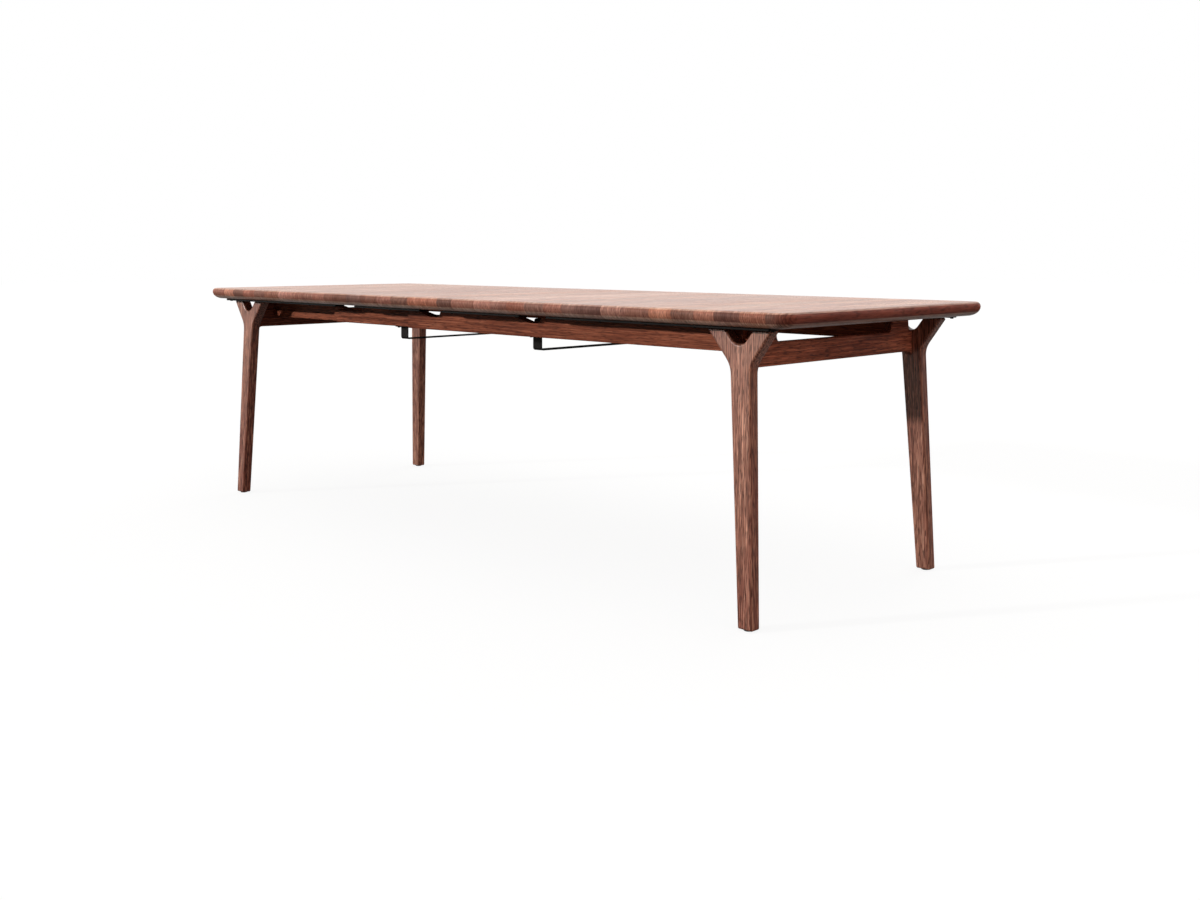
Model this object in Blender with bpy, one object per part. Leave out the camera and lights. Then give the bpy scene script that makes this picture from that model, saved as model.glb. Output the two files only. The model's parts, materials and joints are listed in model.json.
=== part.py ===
"""Extending dining table, pulled open, with both leaves laid in between the two halves."""

import math

import bmesh
import bpy
from mathutils import Matrix, Vector

# X runs along the table, Y across it, Z up. The origin is on the floor under the middle.
# The right half, the left half, the slide carriage and each leaf hang from an empty of their own.

# The whole table
TOP_LENGTH = 2.60
TOP_WIDTH = 0.90
TABLE_HEIGHT = 0.735
LEAF_WIDTH = 0.45
FIT_GAP = 0.0003
CUT_OVERRUN = 0.004
SMALLEST_RADIUS = 0.0006

# Table top
TOP_THICKNESS = 0.038
TOP_UPPER_ROUND = 0.011
TOP_UPPER_HEIGHT = 0.013
TOP_UNDER_ROUND = 0.036
TOP_CORNER_RADIUS = 0.045
SEAM_GAP = 0.0004

# Steel bars under the top, across its grain
BAR_WIDTH = 0.036
BAR_THICKNESS = 0.006
BAR_NEAR_MARGIN = 0.038
BAR_FAR_MARGIN = 0.067
BAR_END_MARGIN = 0.069
BAR_LAP_ON_LEG = 0.0095
BAR_CORNER_RADIUS = 0.004

# Legs
LEG_END_INSET = 0.1764
LEG_EDGE_INSET = 0.0615
LEG_DEPTH = 0.033
LEG_SOFT_EDGE = 0.006
FOOT_WIDTH = 0.0415
NECK_WIDTH = 0.060
HEAD_WIDTH = 0.194
HEAD_HEIGHT = 0.0857
FLANK_RADIUS = 0.060
FORK_WIDTH = 0.084
FORK_DEPTH = 0.0455
FORK_RADIUS = 0.022
TIP_RADIUS = 0.004
SPLAY_ALONG = 0.0274
SPLAY_ACROSS = 0.0167

# Crossbars between the legs of each half
CROSSBAR_THICKNESS = 0.022
CROSSBAR_SETBACK = 0.0046
CROSSBAR_HEIGHT = 0.0931
CROSSBAR_DIP = 0.0365
CROSSBAR_SOFT_EDGE = 0.004
STUB_LENGTH = 0.099
DIP_RUN = 0.008
DIP_RADIUS = 0.013
STUB_RADIUS = 0.020
FLARE_DROP = 0.010
FLARE_RUN = 0.011
FLARE_RADIUS = 0.011

# Tenons that hold crossbar, legs and rails together
LEG_TENON_LENGTH = 0.022
LEG_TENON_HEIGHT = 0.030
LEG_TENON_THICKNESS = 0.012
RAIL_TENON_LENGTH = 0.012
RAIL_TENON_HEIGHT = 0.028
RAIL_TENON_THICKNESS = 0.012
RAIL_TENON_INSET = 0.005
TENON_CLEARANCE = 0.0003

# Telescopic rails: one outer, one middle and one inner on each side
RAIL_HEIGHT = 0.0577
RAIL_THICKNESS = 0.030
RAIL_GAP = 0.0006
RAIL_SOFT_EDGE = 0.003
FRAME_RAIL_MARGIN = 0.003
MIDDLE_RAIL_MARGIN = 0.009
TONGUE_DEPTH = 0.008
TONGUE_ROOT = 0.012
TONGUE_TIP = 0.017
TONGUE_CLEARANCE = 0.0005

# Scoops in the top edges of the rails, beside each seam: steep near it, and a long slope away
SCOOP_NEAR_END = 0.041
SCOOP_NEAR_RUN = 0.010
SCOOP_OUTER_END = 0.165
SCOOP_OUTER_RUN = 0.071
SCOOP_FAR_END = 0.277
SCOOP_FAR_RUN = 0.094
SCOOP_DEPTH = 0.0189
SCOOP_RADIUS = 0.012

# Wear strips on the middle rails, which carry the leaves
STRIP_WIDTH = 0.020
STRIP_END_MARGIN = 0.012

# Steel straps that hold the put-away leaves
STRAP_PLACE = 0.316
STRAP_WIDTH = 0.036
STRAP_THICKNESS = 0.003
STRAP_DROP = 0.043
STRAP_FLANGE = 0.022
STRAP_LAP = 0.015
STRAP_BEND_RADIUS = 0.005

# Stop plates on the ends of the middle rails
STOP_WIDTH = 0.026
STOP_HEIGHT = 0.018
STOP_THICKNESS = 0.003
STOP_TOP_GAP = 0.003

# Screws and glides
SCREW_HEAD_RADIUS = 0.0045
SCREW_HEAD_HEIGHT = 0.0028
SCREW_SHANK_RADIUS = 0.0020
SCREW_SHANK_LENGTH = 0.022
SCREW_END_MARGIN = 0.030
SCREW_CLEARANCE = 0.0004
GLIDE_RADIUS = 0.011
GLIDE_HEIGHT = 0.0025
GLIDE_STEM_RADIUS = 0.0035
GLIDE_STEM_LENGTH = 0.014

# Counts
HALF_BAR_INNER_SCREWS = 4
LEAF_BAR_SCREWS = 3
SCREW_SIDES = 8
GLIDE_SIDES = 16
ARC_STEP = math.radians(18)
SOFT_STEPS = 3
TOP_EDGE_STEPS = 5
DOME_SHARES = (0.6, 1.0)

# Heights that follow from these sizes
UNDERSIDE = TABLE_HEIGHT - TOP_THICKNESS
BAR_TOP = UNDERSIDE - FIT_GAP
BAR_BOTTOM = BAR_TOP - BAR_THICKNESS
FRAME_TOP = BAR_BOTTOM - FIT_GAP
FOOT_BOTTOM = GLIDE_HEIGHT + FIT_GAP
NECK_HEIGHT = FRAME_TOP - HEAD_HEIGHT
CROSSBAR_BOTTOM = FRAME_TOP - CROSSBAR_HEIGHT
CROSSBAR_LOW_TOP = FRAME_TOP - CROSSBAR_DIP
CROSSBAR_MIDDLE = (CROSSBAR_BOTTOM + CROSSBAR_LOW_TOP) / 2
RAIL_BOTTOM = FRAME_TOP - RAIL_HEIGHT
RAIL_MIDDLE = FRAME_TOP - RAIL_HEIGHT / 2

# Places along the table that follow from these sizes
LEG_X = TOP_LENGTH / 2 - LEG_END_INSET
CROSSBAR_X = LEG_X - CROSSBAR_SETBACK
CROSSBAR_INNER_X = CROSSBAR_X - CROSSBAR_THICKNESS / 2
FRAME_RAIL_TIP = 2 * LEAF_WIDTH + FRAME_RAIL_MARGIN - CROSSBAR_INNER_X
MIDDLE_RAIL_HALF = CROSSBAR_INNER_X - LEAF_WIDTH - MIDDLE_RAIL_MARGIN
BAR_END_X = TOP_LENGTH / 2 - BAR_END_MARGIN

# Places across the table that follow from these sizes
LEG_OUTER_Y = TOP_WIDTH / 2 - LEG_EDGE_INSET
LEG_INNER_Y = LEG_OUTER_Y - LEG_DEPTH
LEG_Y = LEG_OUTER_Y - LEG_DEPTH / 2
BAR_Y = LEG_OUTER_Y - BAR_LAP_ON_LEG + BAR_WIDTH / 2
OUTER_RAIL_Y = LEG_INNER_Y - FIT_GAP - RAIL_THICKNESS / 2
MIDDLE_RAIL_Y = OUTER_RAIL_Y - RAIL_THICKNESS - RAIL_GAP
INNER_RAIL_Y = MIDDLE_RAIL_Y - RAIL_THICKNESS - RAIL_GAP

# Colour, roughness and metallic value of each material
FINISHES = {
    "walnut_top": ((0.36, 0.20, 0.14), 0.45, 0.0),
    "walnut_frame": ((0.24, 0.11, 0.07), 0.50, 0.0),
    "walnut_rail": ((0.30, 0.15, 0.10), 0.55, 0.0),
    "black_steel": ((0.015, 0.014, 0.013), 0.45, 0.8),
    "zinc_steel": ((0.30, 0.30, 0.31), 0.40, 1.0),
    "wear_strip": ((0.05, 0.045, 0.04), 0.80, 0.0),
    "black_plastic": ((0.02, 0.02, 0.02), 0.60, 0.0),
}


def clear_scene():
    for old in list(bpy.data.objects):
        bpy.data.objects.remove(old, do_unlink=True)


def make_material(name, finish):
    colour, roughness, metallic = FINISHES[finish]
    material = bpy.data.materials.new(name)
    material.use_nodes = True
    shader = material.node_tree.nodes["Principled BSDF"]
    shader.inputs["Base Color"].default_value = (*colour, 1.0)
    shader.inputs["Roughness"].default_value = roughness
    shader.inputs["Metallic"].default_value = metallic
    return material


def make_empty(name, place, turn=0.0):
    empty = bpy.data.objects.new(name, None)
    bpy.context.collection.objects.link(empty)
    empty.location = place
    empty.rotation_euler = (0.0, 0.0, turn)
    return empty


def mesh_from(shape, name):
    """Turns a bmesh into a mesh whose faces point out, with its round stretches shaded smooth."""
    bmesh.ops.recalc_face_normals(shape, faces=shape.faces)
    mesh = bpy.data.meshes.new(name)
    shape.to_mesh(mesh)
    shape.free()
    mesh.shade_smooth()
    mesh.set_sharp_from_angle(angle=math.radians(35))
    return mesh


def place_piece(name, mesh, finish, parent, place=(0.0, 0.0, 0.0)):
    """Makes the object of one sub-part, with a material of its own."""
    piece = bpy.data.objects.new(name, mesh)
    bpy.context.collection.objects.link(piece)
    piece.parent = parent
    piece.location = place
    if not mesh.materials:
        mesh.materials.append(None)
    piece.material_slots[0].link = "OBJECT"
    piece.material_slots[0].material = make_material(name + "_" + finish, finish)
    return piece


def place_cutter(name, mesh, parent, place=(0.0, 0.0, 0.0)):
    """Makes a helper that only cuts a piece or is joined to it."""
    cutter = bpy.data.objects.new(name, mesh)
    bpy.context.collection.objects.link(cutter)
    cutter.parent = parent
    cutter.location = place
    cutter.hide_render = True
    cutter.display_type = "WIRE"
    return cutter


def combine(piece, helper, operation):
    boolean = piece.modifiers.new(helper.name, "BOOLEAN")
    boolean.operation = operation
    boolean.solver = "EXACT"
    boolean.object = helper


def cut(piece, cutter):
    combine(piece, cutter, "DIFFERENCE")


def join(piece, addition):
    combine(piece, addition, "UNION")


def inset_corners(corners, inset):
    """Moves each side of a counter-clockwise outline in by one distance, radii included."""
    moved = []
    for index, (u, v, radius) in enumerate(corners):
        here = Vector((u, v))
        before = Vector(corners[index - 1][:2])
        after = Vector(corners[(index + 1) % len(corners)][:2])
        into = (here - before).normalized()
        out = (after - here).normalized()
        normal_in = Vector((-into.y, into.x))
        normal_out = Vector((-out.y, out.x))
        shift = (normal_in + normal_out) * (inset / (1 + normal_in.dot(normal_out)))
        turning_left = into.cross(out) > 0
        new_radius = max(radius - inset, SMALLEST_RADIUS) if turning_left else radius + inset
        if radius == 0:
            new_radius = 0
        moved.append((u + shift.x, v + shift.y, new_radius))
    return moved


def outline_points(corners):
    """Rounds each corner of an outline by its radius and gives the points of the whole outline."""
    points = []
    for index, (u, v, radius) in enumerate(corners):
        here = Vector((u, v))
        if radius == 0:
            points.append(here)
            continue
        into = (here - Vector(corners[index - 1][:2])).normalized()
        out = (Vector(corners[(index + 1) % len(corners)][:2]) - here).normalized()
        turn = into.angle(out)
        tangent = radius * math.tan(turn / 2)
        side = 1 if into.cross(out) > 0 else -1
        start = here - into * tangent
        centre = start + Vector((-into.y, into.x)) * radius * side
        steps = max(2, math.ceil(turn / ARC_STEP))
        first = start - centre
        last = here + out * tangent - centre
        sweep = math.atan2(first.x * last.y - first.y * last.x, first.dot(last))
        for step in range(steps + 1):
            angle = sweep * step / steps
            points.append(centre + Matrix.Rotation(angle, 2) @ first)
    return points


def loft(shape, rings):
    """Joins rings of as many points each into one closed solid with flat ends."""
    rows = [[shape.verts.new(point) for point in ring] for ring in rings]
    for low, high in zip(rows, rows[1:]):
        for index in range(len(low)):
            following = (index + 1) % len(low)
            shape.faces.new((low[index], low[following], high[following], high[index]))
    shape.faces.new(list(reversed(rows[0])))
    shape.faces.new(rows[-1])


def soft_slab(corners, depth, soft, to_place):
    """An outline of some depth whose front and back edges are rounded by the soft radius."""
    layers = []
    for step in range(SOFT_STEPS + 1):
        angle = math.pi / 2 * step / SOFT_STEPS
        layers.append((soft * (1 - math.sin(angle)), -depth / 2 + soft * (1 - math.cos(angle))))
    layers += [(inset, -level) for inset, level in reversed(layers)]
    shape = bmesh.new()
    rings = []
    for inset, level in layers:
        points = outline_points(inset_corners(corners, inset))
        rings.append([to_place(point.x, point.y, level) for point in points])
    loft(shape, rings)
    return shape


def straight_run(shape, corners, start, end, to_place):
    """An outline drawn out straight from one place to another."""
    points = outline_points(corners)
    loft(shape, [[to_place(point.x, point.y, level) for point in points] for level in (start, end)])


def add_box(shape, low, high):
    straight_run(
        shape,
        [(low[0], low[1], 0), (high[0], low[1], 0), (high[0], high[1], 0), (low[0], high[1], 0)],
        low[2],
        high[2],
        lambda u, v, w: Vector((u, v, w)),
    )


def turned(shape, profile, sides, to_place):
    """A solid of revolution: profile holds (radius, height) and starts and ends on the axis."""
    rings = []
    for radius, height in profile:
        if radius == 0:
            rings.append([shape.verts.new(to_place(0.0, 0.0, height))])
            continue
        ring = []
        for side in range(sides):
            angle = 2 * math.pi * side / sides
            ring.append(shape.verts.new(to_place(radius * math.cos(angle), radius * math.sin(angle), height)))
        rings.append(ring)
    for low, high in zip(rings, rings[1:]):
        for side in range(sides):
            following = (side + 1) % sides
            if len(low) == 1:
                shape.faces.new((low[0], high[following], high[side]))
            elif len(high) == 1:
                shape.faces.new((low[side], low[following], high[0]))
            else:
                shape.faces.new((low[side], low[following], high[following], high[side]))


def spread(start, end, count):
    return [start + (end - start) * index / (count - 1) for index in range(count)]


def panel_mesh(name, start_x, end_x, rounded_end):
    """A piece of the top. Its long edges are rounded, and so is its free end if it has one."""
    half_width = TOP_WIDTH / 2
    widest = TOP_THICKNESS - TOP_UPPER_HEIGHT
    levels = []
    for step in range(-TOP_EDGE_STEPS, TOP_EDGE_STEPS + 1):
        angle = math.pi / 2 * step / TOP_EDGE_STEPS
        depth, height = (TOP_UNDER_ROUND, widest) if step < 0 else (TOP_UPPER_ROUND, TOP_UPPER_HEIGHT)
        levels.append((depth * (1 - math.cos(angle)), widest + height * math.sin(angle)))
    rings = []
    for inset, rise in levels:
        side = half_width - inset
        end = end_x - inset if rounded_end else end_x
        radius = TOP_CORNER_RADIUS - inset if rounded_end else 0
        corners = [(start_x, -side, 0), (end, -side, radius), (end, side, radius), (start_x, side, 0)]
        rings.append([Vector((point.x, point.y, UNDERSIDE + rise)) for point in outline_points(corners)])
    shape = bmesh.new()
    loft(shape, rings)
    return mesh_from(shape, name)


def leg_mesh(name, side):
    """A leg with a forked head. It splays out towards its foot, both along and across the table."""
    outline = [
        (FOOT_WIDTH / 2, FOOT_BOTTOM, TIP_RADIUS),
        (NECK_WIDTH / 2, NECK_HEIGHT, FLANK_RADIUS),
        (HEAD_WIDTH / 2, FRAME_TOP, TIP_RADIUS),
        (FORK_WIDTH / 2, FRAME_TOP, TIP_RADIUS),
        (0.0, FRAME_TOP - FORK_DEPTH, FORK_RADIUS),
    ]
    mirrored = [(-u, v, radius) for u, v, radius in reversed(outline[:4])]

    def to_place(u, v, w):
        lean = SPLAY_ALONG * (CROSSBAR_MIDDLE - v) / CROSSBAR_MIDDLE
        spread_out = SPLAY_ACROSS * max(0.0, 1 - v / NECK_HEIGHT)
        return Vector((u + lean, w + side * spread_out, v))

    shape = soft_slab(outline + mirrored, LEG_DEPTH, LEG_SOFT_EDGE, to_place)
    return mesh_from(shape, name)


def crossbar_outline():
    """Half of the crossbar's outline, from its middle to the leg, in (across, up)."""
    end = LEG_INNER_Y - FIT_GAP
    return [
        (end - FLARE_RUN, CROSSBAR_BOTTOM, FLARE_RADIUS),
        (end, CROSSBAR_BOTTOM - FLARE_DROP, 0),
        (end, FRAME_TOP, 0),
        (end - STUB_LENGTH, FRAME_TOP, STUB_RADIUS),
        (end - STUB_LENGTH - DIP_RUN, CROSSBAR_LOW_TOP, DIP_RADIUS),
    ]


def crossbar_mesh(name):
    outline = crossbar_outline()
    mirrored = [(-u, v, radius) for u, v, radius in reversed(outline)]
    shape = soft_slab(
        outline + mirrored,
        CROSSBAR_THICKNESS,
        CROSSBAR_SOFT_EDGE,
        lambda u, v, w: Vector((w, u, v)),
    )
    return mesh_from(shape, name)


def leg_tenons_mesh(name, clearance):
    """The tenons at both ends of a crossbar, or with a clearance the mortises they go into."""
    shape = bmesh.new()
    inside = (LEG_INNER_Y - FIT_GAP) - LEG_TENON_LENGTH
    outside = LEG_INNER_Y + LEG_TENON_LENGTH + clearance
    half_thickness = LEG_TENON_THICKNESS / 2 + clearance
    half_height = LEG_TENON_HEIGHT / 2 + clearance
    for low_y, high_y in ((inside, outside), (-outside, -inside)):
        add_box(
            shape,
            (-half_thickness, low_y, CROSSBAR_MIDDLE - half_height),
            (half_thickness, high_y, CROSSBAR_MIDDLE + half_height),
        )
    return mesh_from(shape, name)


def rail_tenon_offset():
    """The rail's tenon lies off the middle of the rail, away from its groove."""
    return RAIL_TENON_INSET + RAIL_TENON_THICKNESS / 2 - RAIL_THICKNESS / 2


def rail_tenon_mesh(name, clearance):
    """A rail's tenon, or with a clearance the mortise that it goes into."""
    shape = bmesh.new()
    half_thickness = RAIL_TENON_THICKNESS / 2 + clearance
    half_height = RAIL_TENON_HEIGHT / 2 + clearance
    middle = RAIL_BOTTOM + RAIL_TENON_INSET + RAIL_TENON_HEIGHT / 2
    add_box(
        shape,
        (CROSSBAR_INNER_X - RAIL_TENON_LENGTH, -half_thickness, middle - half_height),
        (CROSSBAR_INNER_X + RAIL_TENON_LENGTH + clearance, half_thickness, middle + half_height),
    )
    return mesh_from(shape, name)


def grooved_rail_corners():
    """Section of a frame's rail, with a dovetail groove in one face, in (across, up)."""
    half = RAIL_THICKNESS / 2
    mouth = TONGUE_ROOT / 2 + TONGUE_CLEARANCE
    back = TONGUE_TIP / 2 + TONGUE_CLEARANCE
    depth = half - TONGUE_DEPTH - TONGUE_CLEARANCE
    low = RAIL_BOTTOM
    high = FRAME_TOP
    corners = [
        (-half, low, RAIL_SOFT_EDGE),
        (half, low, RAIL_SOFT_EDGE),
        (half, RAIL_MIDDLE - mouth, 0),
        (depth, RAIL_MIDDLE - back, 0),
        (depth, RAIL_MIDDLE + back, 0),
        (half, RAIL_MIDDLE + mouth, 0),
        (half, high, RAIL_SOFT_EDGE),
        (-half, high, RAIL_SOFT_EDGE),
    ]
    return corners


def tongued_rail_corners():
    """Section of the middle rail, with a dovetail tongue on each face."""
    half = RAIL_THICKNESS / 2
    reach = half + TONGUE_DEPTH
    right = [
        (half, RAIL_BOTTOM, RAIL_SOFT_EDGE),
        (half, RAIL_MIDDLE - TONGUE_ROOT / 2, 0),
        (reach, RAIL_MIDDLE - TONGUE_TIP / 2, 0),
        (reach, RAIL_MIDDLE + TONGUE_TIP / 2, 0),
        (half, RAIL_MIDDLE + TONGUE_ROOT / 2, 0),
        (half, FRAME_TOP, RAIL_SOFT_EDGE),
    ]
    return right + [(-u, v, radius) for u, v, radius in reversed(right)]


def rail_mesh(name, corners, start_x, end_x):
    shape = bmesh.new()
    straight_run(shape, corners, start_x, end_x, lambda u, v, w: Vector((w, u, v)))
    return mesh_from(shape, name)


def seams():
    return (-LEAF_WIDTH, 0.0, LEAF_WIDTH)


def scoops_mesh(side, far_end, far_run):
    """Scoops lie on one side of each seam. side is -1 on the front rails and 1 on the back ones."""
    shape = bmesh.new()
    above = FRAME_TOP + CUT_OVERRUN
    bottom = FRAME_TOP - SCOOP_DEPTH
    overrun_share = CUT_OVERRUN / SCOOP_DEPTH
    near_y = INNER_RAIL_Y - RAIL_THICKNESS
    far_y = OUTER_RAIL_Y + RAIL_THICKNESS
    profile = (
        (SCOOP_NEAR_END - overrun_share * SCOOP_NEAR_RUN, above, 0),
        (SCOOP_NEAR_END + SCOOP_NEAR_RUN, bottom, SCOOP_RADIUS),
        (far_end - far_run, bottom, SCOOP_RADIUS),
        (far_end + overrun_share * far_run, above, 0),
    )
    for seam in seams():
        corners = [(seam + side * away, height, radius) for away, height, radius in profile]
        straight_run(shape, corners, side * near_y, side * far_y, lambda u, v, w: Vector((u, w, v)))
    return mesh_from(shape, "scoops")


def bar_mesh(name, start_x, end_x):
    shape = bmesh.new()
    half = BAR_WIDTH / 2
    corners = [
        (start_x, -half, BAR_CORNER_RADIUS),
        (end_x, -half, BAR_CORNER_RADIUS),
        (end_x, half, BAR_CORNER_RADIUS),
        (start_x, half, BAR_CORNER_RADIUS),
    ]
    straight_run(shape, corners, BAR_BOTTOM, BAR_TOP, lambda u, v, w: Vector((u, v, w)))
    return mesh_from(shape, name)


def screw_profile(sunk):
    """A pan-head screw. Its head's rim is at height zero and goes on up by the sunk length."""
    profile = [(0, -SCREW_HEAD_HEIGHT)]
    for share in DOME_SHARES:
        drop = math.sqrt(1 - share * share)
        profile.append((SCREW_HEAD_RADIUS * share, -SCREW_HEAD_HEIGHT * drop))
    if sunk > 0:
        profile.append((SCREW_HEAD_RADIUS, sunk))
    profile.append((SCREW_SHANK_RADIUS, sunk))
    profile.append((SCREW_SHANK_RADIUS, SCREW_SHANK_LENGTH - SCREW_SHANK_RADIUS))
    profile.append((0, SCREW_SHANK_LENGTH))
    return profile


def hole_profile():
    radius = SCREW_SHANK_RADIUS + SCREW_CLEARANCE
    top = SCREW_SHANK_LENGTH + SCREW_CLEARANCE
    return [(0, -CUT_OVERRUN), (radius, -CUT_OVERRUN), (radius, top), (0, top)]


def turn_towards(direction):
    return Vector((0.0, 0.0, 1.0)).rotation_difference(Vector(direction))


def turned_group(name, profile, sides, places, direction=(0.0, 0.0, 1.0)):
    """Solids of revolution from one profile, one at each place, all along one direction."""
    turn = turn_towards(direction).to_matrix()
    shape = bmesh.new()
    for place in places:
        turned(
            shape,
            profile,
            sides,
            lambda u, v, w, place=Vector(place): place + turn @ Vector((u, v, w)),
        )
    return mesh_from(shape, name)


def add_bar(name, mesh, screw_xs, frame, side, panel):
    """Lays a bar under a panel. Its screws are one with it, and reach up into the panel."""
    place = (0.0, side * BAR_Y, 0.0)
    seats = [(x, 0.0, BAR_BOTTOM) for x in screw_xs]
    bar = place_piece(name, mesh, "black_steel", frame, place)
    screws = turned_group(name + "_screws", screw_profile(BAR_THICKNESS / 2), SCREW_SIDES, seats)
    join(bar, place_cutter(name + "_screws", screws, frame, place))
    holes = turned_group(name + "_holes", hole_profile(), SCREW_SIDES, seats)
    cut(panel, place_cutter(name + "_holes", holes, frame, place))


def add_screws(names, seats, direction, frame, hosts, finish):
    """Screws of their own, whose heads lie a hair off their seats, and their holes in the hosts."""
    mesh = turned_group("screw", screw_profile(0.0), SCREW_SIDES, [(0.0, 0.0, 0.0)])
    for name, seat in zip(names, seats):
        screw = place_piece(name, mesh, finish, frame, Vector(seat) - Vector(direction) * FIT_GAP)
        screw.rotation_mode = "QUATERNION"
        screw.rotation_quaternion = turn_towards(direction)
    holes = turned_group(names[0] + "_holes", hole_profile(), SCREW_SIDES, seats, direction)
    cutter = place_cutter(names[0] + "_holes", holes, frame)
    for host in hosts:
        cut(host, cutter)


def glide_profile():
    return [
        (0, 0.0),
        (GLIDE_RADIUS, 0.0),
        (GLIDE_RADIUS, GLIDE_HEIGHT),
        (GLIDE_STEM_RADIUS, GLIDE_HEIGHT),
        (GLIDE_STEM_RADIUS, GLIDE_HEIGHT + GLIDE_STEM_LENGTH),
        (0, GLIDE_HEIGHT + GLIDE_STEM_LENGTH),
    ]


def glide_hole_profile():
    radius = GLIDE_STEM_RADIUS + SCREW_CLEARANCE
    top = GLIDE_HEIGHT + GLIDE_STEM_LENGTH + SCREW_CLEARANCE
    return [(0, 0.0), (radius, 0.0), (radius, top), (0, top)]


def foot_places():
    """The middle of each foot of one half, in the half's own frame."""
    lean = SPLAY_ALONG * (CROSSBAR_MIDDLE - FOOT_BOTTOM) / CROSSBAR_MIDDLE
    out = SPLAY_ACROSS * (1 - FOOT_BOTTOM / NECK_HEIGHT)
    return [Vector((LEG_X + lean, side * (LEG_Y + out), 0.0)) for side in (-1, 1)]


def half_bar_start(side):
    """The bar begins close to the seam on the front of the right half, and farther off on its back."""
    return LEAF_WIDTH + (BAR_NEAR_MARGIN if side < 0 else BAR_FAR_MARGIN)


def half_bar_screws(side):
    """Where a half's bar has its screws: some between the seam and the leg, and one beyond the leg."""
    leg_start = LEG_X - HEAD_WIDTH / 2
    leg_end = LEG_X + HEAD_WIDTH / 2
    first = half_bar_start(side) + SCREW_END_MARGIN
    places = spread(first, leg_start - SCREW_END_MARGIN, HALF_BAR_INNER_SCREWS)
    places.append((leg_end + BAR_END_X) / 2)
    return places


def half_meshes():
    """The meshes that both halves share. They are drawn for the right half."""
    rail_end = CROSSBAR_INNER_X - FIT_GAP
    return {
        "top": panel_mesh("half_top", LEAF_WIDTH + SEAM_GAP / 2, TOP_LENGTH / 2, True),
        "leg_front": leg_mesh("leg_front", -1),
        "leg_back": leg_mesh("leg_back", 1),
        "crossbar": crossbar_mesh("crossbar"),
        "rail": rail_mesh("frame_rail", grooved_rail_corners(), FRAME_RAIL_TIP, rail_end),
        "bar_front": bar_mesh("half_bar_front", half_bar_start(-1), BAR_END_X),
        "bar_back": bar_mesh("half_bar_back", half_bar_start(1), BAR_END_X),
        "glide": turned_group("leg_glide", glide_profile(), GLIDE_SIDES, [(0.0, 0.0, 0.0)]),
    }


def build_half(meshes, frame, half, front, back):
    """One half of the table. The left half is the right one turned round, so its sides swap."""
    middle = (CROSSBAR_X, 0.0, 0.0)
    top = place_piece(f"top_half_{half}", meshes["top"], "walnut_top", frame)
    crossbar = place_piece(f"crossbar_{half}", meshes["crossbar"], "walnut_frame", frame, middle)
    tenons = leg_tenons_mesh("crossbar_tenons", 0.0)
    join(crossbar, place_cutter(f"crossbar_tenons_{half}", tenons, frame, middle))
    mortises = leg_tenons_mesh("leg_mortises", TENON_CLEARANCE)
    mortises = place_cutter(f"leg_mortises_{half}", mortises, frame, middle)
    stems = turned_group("glide_holes", glide_hole_profile(), GLIDE_SIDES, foot_places())
    stems = place_cutter(f"glide_holes_{half}", stems, frame)

    sides = ((-1, front, "front"), (1, back, "back"))
    for (side, word, own_side), foot in zip(sides, foot_places()):
        place = (LEG_X, side * LEG_Y, 0.0)
        leg = place_piece(f"leg_{word}_{half}", meshes["leg_" + own_side], "walnut_frame", frame, place)
        cut(leg, mortises)
        cut(leg, stems)
        place_piece(f"leg_glide_{word}_{half}", meshes["glide"], "black_plastic", frame, foot)
        bar = meshes["bar_" + own_side]
        add_bar(f"top_bar_{word}_{half}", bar, half_bar_screws(side), frame, side, top)

    rails = (
        (f"outer_rail_{front}", -OUTER_RAIL_Y, -1, SCOOP_OUTER_END, SCOOP_OUTER_RUN),
        (f"inner_rail_{back}", INNER_RAIL_Y, 1, SCOOP_FAR_END, SCOOP_FAR_RUN),
    )
    for name, rail_y, side, far_end, far_run in rails:
        rail = place_piece(name, meshes["rail"], "walnut_rail", frame, (0.0, rail_y, 0.0))
        place = (0.0, rail_y + rail_tenon_offset(), 0.0)
        join(rail, place_cutter(name + "_tenon", rail_tenon_mesh("rail_tenon", 0.0), frame, place))
        mortise = rail_tenon_mesh("rail_mortise", TENON_CLEARANCE)
        cut(crossbar, place_cutter(name + "_mortise", mortise, frame, place))
        cut(rail, place_cutter(name + "_scoops", scoops_mesh(side, far_end, far_run), frame))


def build_leaf(frame, half):
    """A leaf with a steel bar near each end. It is drawn about its own middle."""
    reach = (LEAF_WIDTH - SEAM_GAP) / 2
    leaf = place_piece(f"leaf_{half}", panel_mesh("leaf", -reach, reach, False), "walnut_top", frame)
    near = LEAF_WIDTH / 2 - BAR_NEAR_MARGIN
    far = LEAF_WIDTH / 2 - BAR_FAR_MARGIN
    for side, word, start, end in ((-1, "front", -near, far), (1, "back", -far, near)):
        mesh = bar_mesh("leaf_bar_" + word, start, end)
        screw_xs = spread(start + SCREW_END_MARGIN, end - SCREW_END_MARGIN, LEAF_BAR_SCREWS)
        add_bar(f"leaf_bar_{word}_{half}", mesh, screw_xs, frame, side, leaf)


def strip_spans(side):
    """The stretches of a middle rail between its scoops, less a margin: one under each leaf."""
    before, after = sorted((side * SCOOP_NEAR_END, side * SCOOP_FAR_END))
    low_end = after + STRIP_END_MARGIN
    high_end = before - STRIP_END_MARGIN
    return [(low + low_end, high + high_end) for low, high in zip(seams(), seams()[1:])]


def strip_mesh(length):
    shape = bmesh.new()
    add_box(
        shape,
        (-length / 2, -STRIP_WIDTH / 2, FRAME_TOP + FIT_GAP),
        (length / 2, STRIP_WIDTH / 2, UNDERSIDE - FIT_GAP),
    )
    return mesh_from(shape, "wear_strip")


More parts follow.
